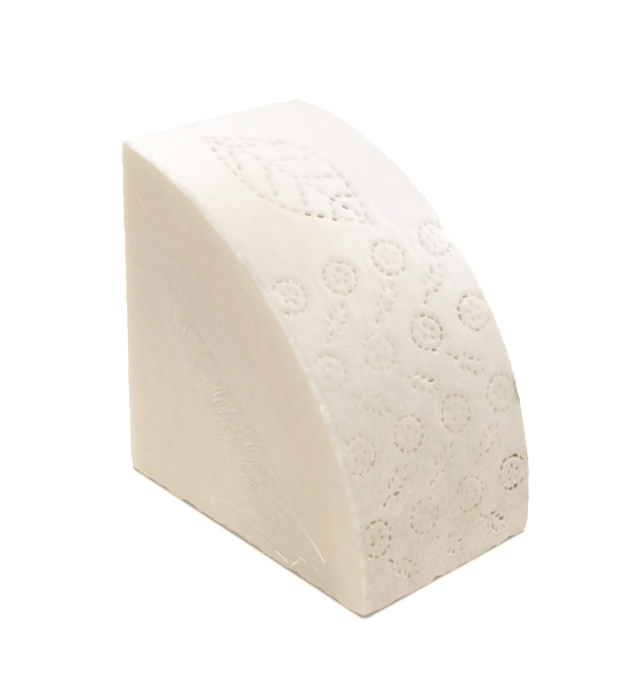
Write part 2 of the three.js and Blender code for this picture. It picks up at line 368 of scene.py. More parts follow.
# How the lower edges crumbled: mean lift at the front cut and at the rind, size and height of the lumps that
# broke off, reach, how far in the edge went for its lift, and how near a point has to be to take part
CRUMBLE_LIFT = (0.6, 0.15)
CRUMBLE_LUMPS = [(20, 1.2), (7, 1.3), (2.5, 0.5)]
CRUMBLE_REACH = 2
CRUMBLE_INWARD = 0.6
CRUMBLE_LEAST = 0.01
# They crumbled from these distances on, from the toe's front corner and from the upright cut
CRUMBLE_FROM_TOE = (2, 12)
CRUMBLE_FROM_UPRIGHT = (0, 28)
# Three lower corners are worn round: how far in along each axis, and over what distance
CORNER_WEAR = 0.54
CORNER_REACH = 4

# Patterns of the rind: sizes of its clouds, flecks and grain, and distance between its pores
RIND_CLOUD = 14
RIND_FLECK = 2.2
RIND_GRAIN = 1.6
RIND_PORE = 5
# Shares of full strength: flecks in the white bloom, painted shade in the valleys, the shade of pores, and
# painted highlight on the lips
FLECK_SHARE = 0.3
VALLEY_SHADE_SHARE = 0.13
PORE_SHARE = 0.2
LIP_HIGHLIGHT_SHARE = 0.6
# At the back the white is duller towards the crest, as painted shade, between these places along. It is
# creamy up to the first of these thicknesses, and white at the second
CREST_BACK_SHADE = (125, 65)
WHITE_SALT = (0.75, 1)
# Between these places along, the grain gets higher, from one height to another. Pores are PORE_DEPTH of it
GRAIN_ALONG = (90, 190)
GRAIN_HEIGHT = (0.06, 0.45)
PORE_DEPTH = 0.5
# Patterns of the cuts: sizes of the paste's clouds and curd, pitch and length of the drag lines, and pitch of
# the nap. The pitch is that at FAN_ARM from the pivot, and the lines differ from one FAN_LAYER to the next
PASTE_CLOUD = 30
PASTE_CURD = 5
DRAG_PITCH = 0.8
DRAG_LENGTH = 30
FEATHER_PITCH = 1.4
FAN_ARM = 50
FAN_LAYER = 9
# Height of the drag lines, and of the nap against theirs
DRAG_HEIGHT = 0.56
FEATHER_HEIGHT = 1.5
# The paste is lighter low down, as painted light from the table, between these heights, which count for
# LOW_LEAN times as much at the rind
LOW_PASTE = (125, 5)
LOW_LEAN = 1.35
# Shares of full strength: the yellow band, painted highlight on the edges, painted light near the rind
BAND_SHARE = 0.35
CUT_HIGHLIGHT_SHARE = 0.55
RIM_GLOW_SHARE = 0.28
# Size of the patches that break up the painted highlight on the edges and vary the roughness
WEAR_SIZE = 5
# What the cheese lets light do: typical values for a hard fat paste
CHEESE_BODY = {"IOR": 1.46, "Subsurface Weight": 0.35, "Subsurface Radius": (1, 0.7, 0.4)}
# Size of the curd that shows in a broken crumb, and height of its bumps
CRUMB_CURD = 0.5
CRUMB_BUMP = 0.1
# Settings of nodes that recur
COLOUR_MIX = {"data_type": "RGBA"}
TIMES = {"operation": "MULTIPLY"}

# The table: half its size in metres, how far it lies under the chunk, and over what distance its shade fades
# round the foot, which is smaller than the chunk's box and has round corners
TABLE_HALF = 12
TABLE_DROP = 0.02
TABLE_SHADE = 0.65
FOOT_INSET = (1, 0.6)
FOOT_CORNER = 1.8
# The camera where the photograph's stood: aim, turn, distance, lens and sensor, and the nearest that it sees
CAMERA_AIM = (63.8, 47.1, 66.9)
CAMERA_AZIMUTH = math.radians(46.09)
CAMERA_ELEVATION = math.radians(26.86)
CAMERA_ROLL = math.radians(1.86)
CAMERA_DISTANCE = 629.6
CAMERA_LENS = 83.24
CAMERA_SENSOR = 36
CAMERA_NEAR = 10
# Studio lights: name, place and size in metres, and watts. All of them face the middle of the chunk
SOFTBOXES = [
    ("softbox_above", (-0.3, 0.1, 0.95), 0.7, 3.6),
    ("softbox_behind", (0.1, 0.6, 0.5), 0.5, 2.2),
    ("softbox_front", (0.5, -0.5, 0.3), 0.4, 1),
    ("softbox_left", (-0.6, -0.3, 0.3), 0.4, 0.6),
]
LIGHT_AIM = (0, 0, 0.08)
ROOM_LIGHT = 0.6


class Draws:
    """Numbers from 0 to 1 in a fixed order, the same series as those that shaped the solid."""

    factor = 1664525
    step = 1013904223
    limit = 2 ** 32

    def __init__(self, seed):
        self.state = seed

    def next(self):
        self.state = (self.state * self.factor + self.step) % self.limit
        return self.state / self.limit


def linear(colour):
    """An sRGB hex colour as the linear colour that a socket takes."""
    parts = [int(colour[place:place + 2], 16) / 255 for place in (1, 3, 5)]
    return tuple(p / 12.92 if p <= 0.04045 else ((p + 0.055) / 1.055) ** 2.4 for p in parts) + (1,)


def smooth(low, high, value):
    """0 below low, 1 above high, and a smooth step between."""
    share = np.clip((value - low) / (high - low), 0, 1)
    return share * share * (3 - 2 * share)


def between(ends, share):
    """A value as far from the first of two ends to the second as the share says."""
    return ends[0] + (ends[1] - ends[0]) * share


def turned(across, up, heading):
    """Offsets in a plane, as measured along a heading and to the left of it."""
    c, s = math.cos(heading), math.sin(heading)
    return across * c + up * s, up * c - across * s


# The section and the skin

def swell(angle, through):
    """How far the rind stands out from the plain cylinder."""
    along = (QUARTER - angle) * MEAN_RADIUS
    out = (-FRONT_FLAT + (BACK_FULL + FRONT_FLAT) * through / DEPTH) * np.sin(2 * angle)
    out = out + LOW_HIP * np.sin(4 * angle)
    for hollow_along, hollow_through, size, sink in HOLLOWS:
        reach = np.hypot(along - hollow_along, through - hollow_through) / size
        out = out - sink * np.exp(-reach ** 2)
    return out


def straight(start, end, spacing):
    """Points and outward directions of a straight side of the section."""
    start, end = np.array(start, float), np.array(end, float)
    run = end - start
    length = np.hypot(*run)
    share = np.arange(round(length / spacing)) / round(length / spacing)
    out = np.array([run[1], -run[0]]) / length
    return start + share[:, None] * run, np.repeat(out[None], len(share), axis=0), share


def bend(centre, radii, start, end, steps):
    """Points and outward directions of a curved side of the section."""
    share = np.arange(steps) / steps
    turn = between((start, end), share)
    at = np.array(centre) + np.stack([radii[0] * np.cos(turn), radii[1] * np.sin(turn)], axis=1)
    out = np.stack([radii[1] * np.cos(turn), radii[0] * np.sin(turn)], axis=1)
    return at, out / np.linalg.norm(out, axis=1)[:, None], share


def section():
    """Points round the section, anticlockwise in x and z from the wheel's axis, and their edge roundings."""
    toe = math.asin(TOE_CORNER / HEIGHT)
    crest = math.acos(CREST_CORNER / WIDTH)
    toe_x = WIDTH - TOE_CORNER
    crest_z = HEIGHT - CREST_CORNER
    base = straight((AXIS_CORNER, 0), (toe_x, 0), FLAT_STEP)
    rind = bend((0, 0), (WIDTH, HEIGHT), toe, crest, round(RIND_LENGTH / RIND_STEP))
    sides = [
        base,
        bend((toe_x, TOE_CORNER), (TOE_CORNER, TOE_CORNER), -QUARTER, 0, CORNER_STEPS),
        rind,
        bend((CREST_CORNER, crest_z), (CREST_CORNER, CREST_CORNER), QUARTER, 2 * QUARTER, CORNER_STEPS),
        straight((0, crest_z), (0, AXIS_CORNER), FLAT_STEP),
        bend((AXIS_CORNER, AXIS_CORNER), (AXIS_CORNER, AXIS_CORNER), 2 * QUARTER, 3 * QUARTER, CORNER_STEPS),
    ]
    nothing = [np.zeros(len(side[2])) for side in sides]
    share = rind[2]
    front = (1 - share) ** FRONT_EDGE_FADE * smooth(0, FRONT_EDGE_START, share)
    back = np.sin(math.pi * share) ** EDGE_SPREAD
    front = np.concatenate(nothing[:2] + [front] + nothing[3:])
    back = np.concatenate(nothing[:2] + [back] + nothing[3:])
    chip = np.concatenate([CHIP * np.sin(base[0][:, 0] / CHIP_WAVE * 2 * math.pi)] + nothing[1:])
    return {
        "at": np.concatenate([side[0] for side in sides]),
        "out": np.concatenate([side[1] for side in sides]),
        "front_round": between((CUT_EDGE, FRONT_RIND_EDGE), front) + chip,
        "back_round": between((CUT_EDGE, BACK_RIND_EDGE), back) + chip,
    }


def ring(outline, through, inset):
    """One ring of the skin, as deep behind the front cut and as far inside the section as told."""
    at, out = outline["at"], outline["out"]
    angle = np.arctan2(at[:, 1] / HEIGHT, at[:, 0] / WIDTH)
    rind = np.maximum(0, out[:, 0] * np.cos(angle) + out[:, 1] * np.sin(angle))
    flat = at + out * (rind * swell(angle, through) - inset)[:, None]
    return np.stack([flat[:, 0], through, flat[:, 1]], axis=1)


def skin_rings():
    """All the rings from the front cut to the back cut."""
    outline = section()
    front, back = outline["front_round"], outline["back_round"]
    rings = []
    for step in range(EDGE_STEPS):
        turn = step / EDGE_STEPS * QUARTER
        rings.append(ring(outline, front * (1 - math.cos(turn)), front * (1 - math.sin(turn))))
    steps = round(DEPTH / RIND_STEP)
    for step in range(steps + 1):
        through = front + (DEPTH - back - front) * step / steps
        rings.append(ring(outline, through, np.zeros(len(front))))
    for step in reversed(range(EDGE_STEPS)):
        turn = step / EDGE_STEPS * QUARTER
        rings.append(ring(outline, DEPTH - back * (1 - math.cos(turn)), back * (1 - math.sin(turn))))
    return rings


def inside(points, loop):
    """Which points lie inside a closed loop, by counting the sides that a ray from each crosses."""
    crossings = np.zeros(len(points), int)
    for (x0, z0), (x1, z1) in zip(loop, np.roll(loop, -1, axis=0)):
        if z0 != z1:
            level = (points[:, 1] >= min(z0, z1)) & (points[:, 1] < max(z0, z1))
            crossings += level & (points[:, 0] < x0 + (points[:, 1] - z0) * (x1 - x0) / (z1 - z0))
    return crossings % 2 == 1


def cut_net(loop, spacing):
    """Fills a cut with an even net of triangles: its inner points, and faces that count loop points first."""
    rows = np.arange(spacing, HEIGHT, spacing * math.sqrt(3) / 2)
    columns = np.arange(spacing, WIDTH, spacing)
    points = np.array([(x + spacing / 2 * (row % 2), z) for row, z in enumerate(rows) for x in columns])
    gap = np.min(np.linalg.norm(points[:, None] - loop[None, ::2], axis=2), axis=1)
    points = points[inside(points, loop) & (gap > spacing * NET_CLEAR)]
    corners = [Vector(point) for point in np.concatenate([loop, points])]
    edges = [(place, (place + 1) % len(loop)) for place in range(len(loop))]
    faces = delaunay_2d_cdt(corners, edges, [], 1, NET_MERGE)[2]
    return points, faces


def plain_skin():
    """The chunk without relief, as a bmesh in millimetres."""
    rings = skin_rings()
    count = len(rings[0])
    points = np.concatenate(rings)
    faces = []
    for level in range(len(rings) - 1):
        for place in range(count):
            after = (place + 1) % count
            near, far = level * count, (level + 1) * count
            faces.append((near + place, near + after, far + after, far + place))
    for level, spacing, flipped in ((0, FRONT_NET, False), (len(rings) - 1, BACK_NET, True)):
        loop = rings[level]
        inner, net = cut_net(loop[:, [0, 2]], spacing)
        first = len(points)
        rows = np.insert(inner, 1, loop[0, 1], axis=1)
        points = np.concatenate([points, rows])
        for face in net:
            face = [level * count + p if p < count else first + p - count for p in face]
            faces.append(face[::-1] if flipped else face)
    mesh = bpy.data.meshes.new("plain_skin")
    mesh.from_pydata(points.tolist(), [], faces)
    skin = bmesh.new()
    skin.from_mesh(mesh)
    bpy.data.meshes.remove(mesh)
    bmesh.ops.recalc_face_normals(skin, faces=skin.faces[:])
    return skin


# Pin marks: each motif is a list of slots with a place u, v, a heading and a length

def flower():
    """A ring of slots round five short petals."""
    slots = []
    for slot in range(FLOWER_SLOTS):
        a = slot / FLOWER_SLOTS * 2 * math.pi
        slots.append((FLOWER_RADIUS * math.cos(a), FLOWER_RADIUS * math.sin(a), a + QUARTER, SLOT_LENGTH))
    for petal in range(PETALS):
        a = petal / PETALS * 2 * math.pi
        slots.append((PETAL_RADIUS * math.cos(a), PETAL_RADIUS * math.sin(a), a, PETAL_LENGTH))
    return slots


def sprig():
    """An ear of grain: a stem, then pairs of grains splayed from it, then one grain at the tip."""
    slots = []
    count = SPRIG_STEM_SLOTS + SPRIG_PAIRS + 1
    for slot in range(count):
        u = (slot - (count - 1) / 2) * SPRIG_PITCH
        paired = SPRIG_STEM_SLOTS <= slot < count - 1
        for side in (-1, 1) if paired else (0,):
            slots.append((u, side * SPRIG_REACH, side * SPRIG_SPLAY, SLOT_LENGTH))
    return slots


def leaf():
    """A large leaf: two bowed sides that meet at both ends, a rib, and veins from the rib to the sides."""
    slots = []
    half = LEAF_LENGTH / 2

    def bow(u):
        return LEAF_WIDTH / 2 * math.cos(u / half * QUARTER)

    for slot in range(LEAF_SIDE_SLOTS):
        u = half * ((2 * slot + 1) / LEAF_SIDE_SLOTS - 1)
        slope = math.atan(-LEAF_WIDTH / LEAF_LENGTH * QUARTER * math.sin(u / half * QUARTER))
        for side in (-1, 1):
            slots.append((u, side * bow(u), side * slope, LEAF_SLOT_LENGTH))
    for slot in range(LEAF_RIB_SLOTS):
        slots.append((half * (2 * slot / (LEAF_RIB_SLOTS - 1) - 1), 0, 0, LEAF_SLOT_LENGTH))
    step = LEAF_VEIN_PITCH / math.sqrt(2)
    for vein in range(1, LEAF_VEINS + 1):
        root = half * (2 * vein / (LEAF_VEINS + 1) - 1 - LEAF_VEIN_SHIFT)
        reach = step
        while reach < bow(root + reach) - LEAF_VEIN_GAP:
            for side in (-1, 1):
                slots.append((root + reach, side * reach, side * QUARTER / 2, LEAF_SLOT_LENGTH))
            reach += step
    return slots


def stamp(marks, draws, motif, along, through, turn):
    """Presses one motif into the unrolled rind, without the slots that are worn away or too near an edge."""
    wave_along, wave_through, wave_aslant = PRESS_WAVES
    for u, v, heading, length in motif:
        u, v = turned(u, v, -turn)
        a, t = along + u, through + v
        patch = math.sin(a / wave_along + PRESS_PHASE) * math.sin(t / wave_through + a / wave_aslant)
        pressed = MEAN_PRESS + PRESS_PATCH * patch + PRESS_SCATTER * (draws.next() - 0.5)
        clear = min(a, RIND_LENGTH - a, t, DEPTH - t) > EDGE_MARGIN
        if clear and pressed > WORN_AWAY:
            marks.append((a, t, heading + turn, length, pressed))


def press_marks():
    """All the marks: the leaf below the crest, then half-dropped columns of flowers and sprigs to the base.
    Each has a place along and through, a heading, a length, and how hard its pin pressed."""
    marks = []
    draws = Draws(MARK_SEED)
    stamp(marks, draws, leaf(), LEAF_ALONG, LEAF_THROUGH, LEAF_TURN)
    for column in range(math.ceil((RIND_LENGTH - FIELD_START) / COLUMN_PITCH)):
        along = FIELD_START + column * COLUMN_PITCH
        odd = column % 2
        lean = SPRIG_LEAN if column % 4 == 1 else -SPRIG_LEAN
        through = FIRST_ROW + odd * ROW_PITCH / 2
        while through < DEPTH:
            if odd:
                stamp(marks, draws, sprig(), along, through, QUARTER + lean)
            else:
                stamp(marks, draws, flower(), along, through, through)
            through += ROW_PITCH
    return marks


# Relief

def rind_point(along, through):
    """A place on the unrolled rind as a point in x, y and z."""
    angle = QUARTER - along / MEAN_RADIUS
    out = swell(angle, through)
    return (WIDTH + out) * math.cos(angle), through, (HEIGHT + out) * math.sin(angle)


def score_place(share, aside):
    """A place beside the long score, as far down it and to its lower side as told, in x and z."""
    run = np.subtract(STROKES_TO, STROKES_FROM)
    side = np.array([run[1], -run[0]]) / np.hypot(*run)
    return STROKES_FROM + share * run + aside * side


def chatter_ridges():
    """The ridges where the knife chattered: middle in x and z, heading, length, width and height of each."""
    ridges = []
    for (x0, z0), (x1, z1), height in CHATTER:
        heading = math.atan2(z1 - z0, x1 - x0)
        length = math.hypot(x1 - x0, z1 - z0)
        ridges.append(((x0 + x1) / 2, (z0 + z1) / 2, heading, length, CHATTER_WIDTH, height))
    return ridges


def stroke_ridges():
    """The finer strokes in rows beside the long score, described like the ridges of the chatter."""
    ridges = []
    draws = Draws(STROKE_SEED)
    steps = round(math.dist(STROKES_FROM, STROKES_TO) / STROKE_PITCH)
    for row in range(STROKE_ROWS):
        for step in range(steps):
            share = (step + STROKE_SCATTER * draws.next() + STROKE_ROW_SHIFT * row) / steps
            aside = (row + between(STROKE_ASIDE, draws.next())) / STROKE_ROWS
            x, z = score_place(share, aside * between(STROKE_SPREAD, share))
            heading = math.atan2(z - STROKE_CENTRE[1], x - STROKE_CENTRE[0])
            heading += STROKE_TURN * (draws.next() - 0.5)
            length = STROKE_LENGTH * between(STROKE_LENGTHS, draws.next())
            length *= between(STROKE_LENGTHENING, share)
            height = STROKE_RISE * between(STROKE_HEIGHTS, draws.next())
            height *= between(STROKE_HEIGHTENING, share) * math.sin(math.pi * aside)
            if draws.next() < STROKES_LEFT:
                ridges.append((x, z, heading, length, STROKE_WIDTH, height))
    return ridges


def knife_ridges():
    """All the ridges that the knife left on the front cut."""
    return chatter_ridges() + stroke_ridges()


def thread_line(points):
    """The bends of a thread or score joined by a smooth line of close points."""
    points = np.array(points, float)
    at = np.linspace(0, len(points) - 1, LINE_POINTS)
    curve = np.polynomial.Polynomial
    fits = [curve.fit(np.arange(len(points)), points[:, axis], len(points) - 1) for axis in (0, 1)]
    return np.stack([fit(at) for fit in fits], axis=1)


def mark_places(marks):
    """Points along the pin marks and round the flakes' scars, where the skin has to be finer."""
    places = []
    for along, through, heading, length, _ in marks:
        for share in SLOT_SHARES:
            u = share * length
            places.append(rind_point(along + u * math.cos(heading), through + u * math.sin(heading)))
    for along, through, length, width in FLAKES:
        for turn in np.linspace(0, 2 * math.pi, FLAKE_POINTS, endpoint=False):
            places.append(rind_point(along + length * math.cos(turn), through + width * math.sin(turn)))
    return places


def knife_places():
    """Points along the threads and scores of the front cut, and along the crumbled edges."""
    places = [(x, 0, 0) for x in range(FOOT_START, WIDTH)]
    places += [(WIDTH, y, 0) for y in range(FOOT_START, DEPTH)]
    for points, _, _ in THREADS + SCORES:
        places += [(x, 0, z) for x, z in thread_line(points)]
    return places


def hidden_places():
    """Points along the threads and scores of the back cut and the upright cut."""
    places = []
    for points, _, _ in BACK_THREADS + BACK_SCORES:
        places += [(x, DEPTH, z) for x, z in thread_line(points)]
    for points, _, _ in UPRIGHT_THREADS + UPRIGHT_SCORES:
        places += [(0, y, z) for y, z in thread_line(points)]
    return places


def stroke_places():
    """Points along the ridges of the front cut."""
    places = []
    for x, z, heading, length, _, _ in knife_ridges():
        for share in np.linspace(-0.5, 0.5, RIDGE_POINTS):
            places.append((x + share * length * math.cos(heading), 0, z + share * length * math.sin(heading)))
    return places


def refine(skin, places, passes):
    """Halves the skin's edges near the places of fine detail, once for each pass."""
    tree = KDTree(len(places))
    for number, place in enumerate(places):
        tree.insert(place, number)
    tree.balance()
    for reach, longest in passes:
        close = [face for face in skin.faces if tree.find(face.calc_center_median())[2] < reach]
        edges = dict.fromkeys(edge for face in close for edge in face.edges if edge.calc_length() > longest)
        bmesh.ops.subdivide_edges(skin, edges=list(edges), cuts=1, use_grid_fill=True)


def lumpy(points, table):
    """Soft unevenness at points: noise of each size in the table, as high as the table says."""
    total = np.zeros(len(points))
    for size, height in table:
        total += [height * noise.noise(Vector(point / size)) for point in points]
    return total


def worn_marks(marks):
    """The marks after wear: place along and through, heading, length and width, how hard the pin pressed, and
    what is left of the slot's depth and of its lips."""
    worn = []
    draws = Draws(WEAR_SEED)
    for along, through, heading, length, pressed in marks:
        kept = PETAL_LEFT if length < SLOT_LENGTH else 1
        along += WEAR_SHIFT * (draws.next() - 0.5)
        through += WEAR_SHIFT * (draws.next() - 0.5)
        heading += WEAR_TURN * (draws.next() - 0.5)
        length *= SLOT_GROWN * (1 - WEAR_LENGTH * draws.next())
        width = SLOT_GROWN * SLOT_WIDTH * (1 - WEAR_WIDTH * draws.next())
        left = between((LEAST_LEFT, 1), smooth(*PRESS_RANGE, pressed) ** 2)
        lips = between((LEAST_LIP, 1), left) * np.interp(along, *LIP_SALTED) * kept
        left *= np.interp(along, *SALTED) * kept * (1 + smooth(*DEEP_PRESS, pressed))
        worn.append((along, through, heading, length, width, pressed, left, lips))
    return worn


def slot_relief(along, through, marks, bulging):
    """Height of the marks at points of the rind, and how far in a slot, in a valley and on a lip each is."""
    pit, lip, valley, shoulder = np.zeros((4, len(along)))
    for mark_along, mark_through, heading, length, width, pressed, left, lips in worn_marks(marks):
        near = np.nonzero(np.hypot(along - mark_along, through - mark_through) < 3 * SHOULDER_GAP)[0]
        below = along[near] - mark_along
        u, v = turned(below, through[near] - mark_through, heading)
        gap = np.hypot(np.maximum(np.abs(u) - (length - width) / 2, 0), v)
        in_slot = left * (1 - smooth(0, SLOT_WALL * width, gap))
        on_lip = lips * between((LIP_ABOVE, 1), smooth(*LIP_SIDES, below))
        on_lip = on_lip * np.exp(-((gap - LIP_PLACE * width) / LIP_WIDTH) ** 2)
        in_valley = pressed * np.exp(-(gap / VALLEY_WIDTH) ** 2)
        beside = np.minimum(1, pressed) * np.exp(-((gap - SHOULDER_GAP) / SHOULDER_WIDTH) ** 2)
        for layer, share in ((pit, in_slot), (lip, on_lip), (valley, in_valley), (shoulder, beside)):
            layer[near] = np.maximum(layer[near], np.minimum(1, share))
    shoulder *= bulging * (1 - valley)
    lip *= between((LEAST_LIP, 1), bulging) * (1 - np.minimum(1, pit / LEAST_LEFT))
    rise = LIP_RISE * lip + SHOULDER_RISE * shoulder - VALLEY_SINK * valley - SLOT_LEFT * SLOT_SINK * pit
    return rise, pit, valley, lip


def flaked(points, along):
    """Where flakes broke off beside the front rim, with ragged edges: from 0 to 1."""
    broken = np.zeros(len(points))
    ragged = lumpy(points, FLAKE_RAGGED)
    for middle, through, length, width in FLAKES:
        reach = np.hypot((along - middle) / length, (points[:, 1] - through) / width) + ragged
        broken = np.maximum(broken, smooth(*FLAKE_WALL, reach))
    return broken


def line_gap(x, z, line):
    """Distance from points to a line, and how far along the line the nearest place is, from 0 to 1."""
    gap = np.full(len(x), np.inf)
    share = np.zeros(len(x))
    pieces = len(line) - 1
    for number in range(pieces):
        (x0, z0), (x1, z1) = line[number], line[number + 1]
        run_x, run_z = x1 - x0, z1 - z0
        at = np.clip(((x - x0) * run_x + (z - z0) * run_z) / (run_x ** 2 + run_z ** 2), 0, 1)
        distance = np.hypot(x - x0 - at * run_x, z - z0 - at * run_z)
        closer = distance < gap
        gap[closer] = distance[closer]
        share[closer] = (number + at[closer]) / pieces
    return gap, share


def knife_relief(x, z, threads, scores, ridges):
    """Height of what the knife raised and scored on a cut, and how pale each point is for it."""
    rise, scuff = np.zeros((2, len(x)))
    for points, width, heights in threads:
        gap, share = line_gap(x, z, thread_line(points))
        ends = smooth(0, THREAD_ENDS[0], share) * smooth(1, 1 - THREAD_ENDS[1], share)
        thread = between(heights, share ** 2) * ends * np.exp(-(gap / width) ** 2)
        rise += thread
        scuff = np.maximum(scuff, np.minimum(1, thread / PALE_HEIGHT) ** PALE_POWER)
    for points, width, depth in scores:
        gap, share = line_gap(x, z, thread_line(points))
        rise -= depth * np.sin(math.pi * share) ** SCORE_SPREAD * np.exp(-(gap / width) ** 2)
    for mid_x, mid_z, heading, length, width, height in ridges:
        near = np.nonzero(np.hypot(x - mid_x, z - mid_z) < length)[0]
        u, v = turned(x[near] - mid_x, z[near] - mid_z, heading)
        off = (v + RIDGE_BOW * u ** 2) / width
        ends = np.clip(1 - (2 * u / length) ** 2, 0, 1)
        crest = np.exp(-off ** 2)
        groove = np.exp(-(off + GROOVE_PLACE) ** 2)
        rise[near] += height * ends * (crest - GROOVE_SHARE * groove)
        scuff[near] = np.maximum(scuff[near], RIDGE_PALE * height * ends * crest)
    return rise, scuff


def feathered(x, z):
    """How strong the knife's feathery nap is beside the long score, on the front and back cuts."""
    run_x, run_z = np.subtract(STROKES_TO, STROKES_FROM)
    down, left = turned(x - STROKES_FROM[0], z - STROKES_FROM[1], math.atan2(run_z, run_x))
    share, aside = down / math.hypot(run_x, run_z), -left
    spread = np.maximum(between(STROKE_SPREAD, share), 1)
    across = smooth(*FEATHER_SIDE, aside) * smooth(*FEATHER_OUTER, aside / spread)
    ends = smooth(*FEATHER_TOP, share) * smooth(*FEATHER_FOOT, share)
    return ends * across * between(FEATHER_GROWTH, share)


def dragged(x, z, front):
    """How plain the fine drag lines are: on the front cut most of all near the knife's pivot, though not at
    the toe, and on the other cuts evenly, though not close to the pivot."""
    reach = np.hypot(x - KNIFE_PIVOT[0], z - KNIFE_PIVOT[1])
    plain = np.maximum(LEAST_DRAG, smooth(*DRAG_REACH, reach) * smooth(*DRAG_TOE, x))
    return plain * front + HIDDEN_DRAG * smooth(*HIDDEN_CLEAR, reach) * (1 - front)


def salt_and_light_share(along, through):
    """How thick the white bloom is on the rind, partly salt and partly painted light: it is thickest at the
    crest and thins out to the base, later at the back, and is less white in part at the front."""
    back = smooth(*WHITE_LATE, through / DEPTH)
    less_white = np.exp(-((along - LESS_WHITE_ALONG) / LESS_WHITE_HALF) ** 2) * smooth(*LESS_WHITE_THROUGH, through)
    return smooth(WHITE_END, WHITE_START + WHITE_BACK * back, along) * (1 - LESS_WHITE * less_white)


# Meshes

def crumb_mesh():
    """All the crumbs that lie on the rind, as one mesh of small uneven lumps."""
    draws = Draws(CRUMB_SEED)
    lumps = bmesh.new()
    for along, through, length, thickness in CRUMBS:
        angle = QUARTER - along / MEAN_RADIUS
        out = np.array([math.cos(angle), 0, math.sin(angle)])
        across = np.array([out[2], 0, -out[0]])
        middle = np.array(rind_point(along, through)) + CRUMB_LIFT * thickness * out
        lump = bmesh.ops.create_icosphere(lumps, subdivisions=2, radius=0.5)["verts"]
        turn = math.pi * draws.next()
        width = length * between(CRUMB_WIDTHS, draws.next())
        for vert in lump:
            uneven = 1 + CRUMB_SPREAD * (draws.next() - 0.5)
            u, v, w = uneven * np.array(vert.co) * [length, width, thickness]
            u, v = turned(u, v, -turn)
            vert.co = CORNER + (middle + u * across + [0, v, 0] + w * out) * MM
    mesh = bpy.data.meshes.new("cheese_crumbs")
    lumps.to_mesh(mesh)
    lumps.free()
    mesh.shade_smooth()
    return mesh


def fine_skin(marks):
    """The plain skin, made finer where it takes fine detail."""
    skin = plain_skin()
    refine(skin, mark_places(marks), MARK_PASSES)
    refine(skin, stroke_places(), STROKE_PASSES)
    refine(skin, knife_places(), KNIFE_PASSES)
    refine(skin, hidden_places(), HIDDEN_PASSES)
    skin.normal_update()
    return skin


def read_skin(skin):
    """The points and normals of the plain skin, and which faces and edges each point belongs to."""
    points = np.array([vert.co for vert in skin.verts])
    normals = np.array([vert.normal for vert in skin.verts])
    angle = np.arctan2(points[:, 2] / HEIGHT, points[:, 0] / WIDTH)
    facing = normals[:, 0] * np.cos(angle) + normals[:, 2] * np.sin(angle)
    squarest = np.max(np.stack([facing, np.abs(normals[:, 1]), -normals[:, 0], -normals[:, 2]]), axis=0)
    return points, normals, {
        "angle": angle,
        "along": (QUARTER - angle) * MEAN_RADIUS,
        "facing": facing,
        "rind": smooth(*RIND_TURN, facing),
        "front": smooth(*CUT_TURN, -normals[:, 1]),
        "back": smooth(*CUT_TURN, normals[:, 1]),
        "upright": smooth(*CUT_TURN, -normals[:, 0]),
        "edge": smooth(*EDGE_TURN, 1 - squarest),
    }


def rind_relief(points, along, marks):
    """Height of the marks, scars and lumps at points of the rind, and how far in a slot, in a valley and on a
    lip or scar each is."""
    bulging = smooth(*BULGE_RANGE, lumpy(points, [(BULGE_PATCH, 1)]))
    rise, pit, valley, lip = slot_relief(along, points[:, 1], marks, bulging)
    broken = flaked(points, along)
    rise -= FLAKE_SINK * broken
    lip = np.maximum(lip, FLAKE_PALE * broken)
    rise += lumpy(points, RIND_LUMPS) * (1 + CREST_LUMPS * smooth(*CREST_REACH, along))
    rise += lumpy(points, FINE_LUMPS) * between((FINE_CREST, 1), smooth(*FINE_REACH, along))
    return rise, pit, valley, lip


def skin_relief(points, belongs, marks):
    """Height of all the relief at points of the plain skin, and the colour values that come with it."""
    x, y, z = points.T
    rind, edge = belongs["rind"], belongs["edge"]
    rise, pit, valley, lip, scuff = np.zeros((5, len(points)))
    on_rind = rind > 0
    pressed = rind_relief(points[on_rind], belongs["along"][on_rind], marks)
    rise[on_rind], pit[on_rind], valley[on_rind], lip[on_rind] = pressed
    rise *= rind
    on_edge = edge > 0
    rise[on_edge] += edge[on_edge] * lumpy(points[on_edge], EDGE_LUMPS)
    for cut, across, threads, scores, ridges in (
        (belongs["front"], x, THREADS, SCORES, knife_ridges()),
        (belongs["back"], x, BACK_THREADS, BACK_SCORES, []),
        (belongs["upright"], y, UPRIGHT_THREADS, UPRIGHT_SCORES, []),
    ):
        on_cut = cut > 0
        raised, pale = knife_relief(across[on_cut], z[on_cut], threads, scores, ridges)
        rise[on_cut] += cut[on_cut] * raised
        scuff[on_cut] = cut[on_cut] * pale
    return rise, {"pit": pit, "valley": valley * rind, "lip": lip * rind, "scuff": scuff}


def wear_foot(points, normals):
    """Moves points where the lower edges crumbled and three lower corners wore. None goes below the table.
    The x, y and z here are the points' own, so that each step goes on from the one before."""
    x, y, z = points.T
    share = smooth(*CRUMBLE_FROM_TOE, np.hypot(y, WIDTH - x)) * smooth(*CRUMBLE_FROM_UPRIGHT, x)
    for beside, lift in zip((y, WIDTH - x), CRUMBLE_LIFT):
        low = share * np.exp(-(beside / CRUMBLE_REACH) ** 2 - (z / CRUMBLE_REACH) ** 2)
        near = low > CRUMBLE_LEAST
        crumbled = np.zeros(len(points))
        crumbled[near] = low[near] * np.maximum(0, lift + lumpy(points[near], CRUMBLE_LUMPS))
        points += crumbled[:, None] * ([0, 0, 1] - CRUMBLE_INWARD * normals * [1, 1, 0])
    for corner in ((WIDTH, 0, 0), (WIDTH, DEPTH, 0), (0, 0, 0)):
        reach = np.linalg.norm(points - corner, axis=1) / CORNER_REACH
        inward = [-1 if corner[0] else 1, -1 if corner[1] else 1, 1]
        points += CORNER_WEAR * np.exp(-reach ** 2)[:, None] * inward
    points[:, 2] = np.maximum(z, 0)


